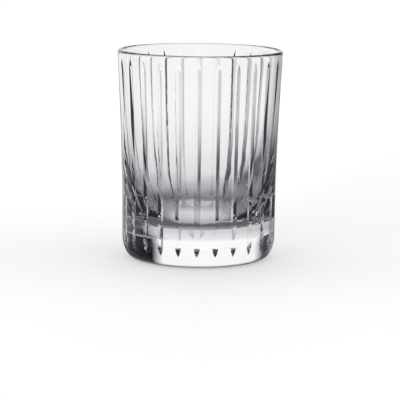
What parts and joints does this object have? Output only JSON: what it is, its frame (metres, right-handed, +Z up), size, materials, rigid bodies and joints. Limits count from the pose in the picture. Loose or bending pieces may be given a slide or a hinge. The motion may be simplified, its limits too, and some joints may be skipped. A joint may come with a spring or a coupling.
{
  "type": "whiskey tumbler",
  "caption": "Round cut-crystal whiskey tumbler with a heavy solid base, thin rounded lip and vertical mitre cuts all round the outside.",
  "frame": {"origin": "middle of the flat foot that the tumbler stands on", "axes": "+Z up along the tumbler's axis of revolution; one mitre cut faces -Y to within a degree"},
  "size_m": [0.0792, 0.0792, 0.1],
  "materials": {
    "lead_crystal": "clear lead crystal, fire-polished inside and at the lip, polished mitre cuts outside"
  },
  "bodies": {
    "root": {"crystal_tumbler": "lead_crystal"}
  },
  "joints": []
}
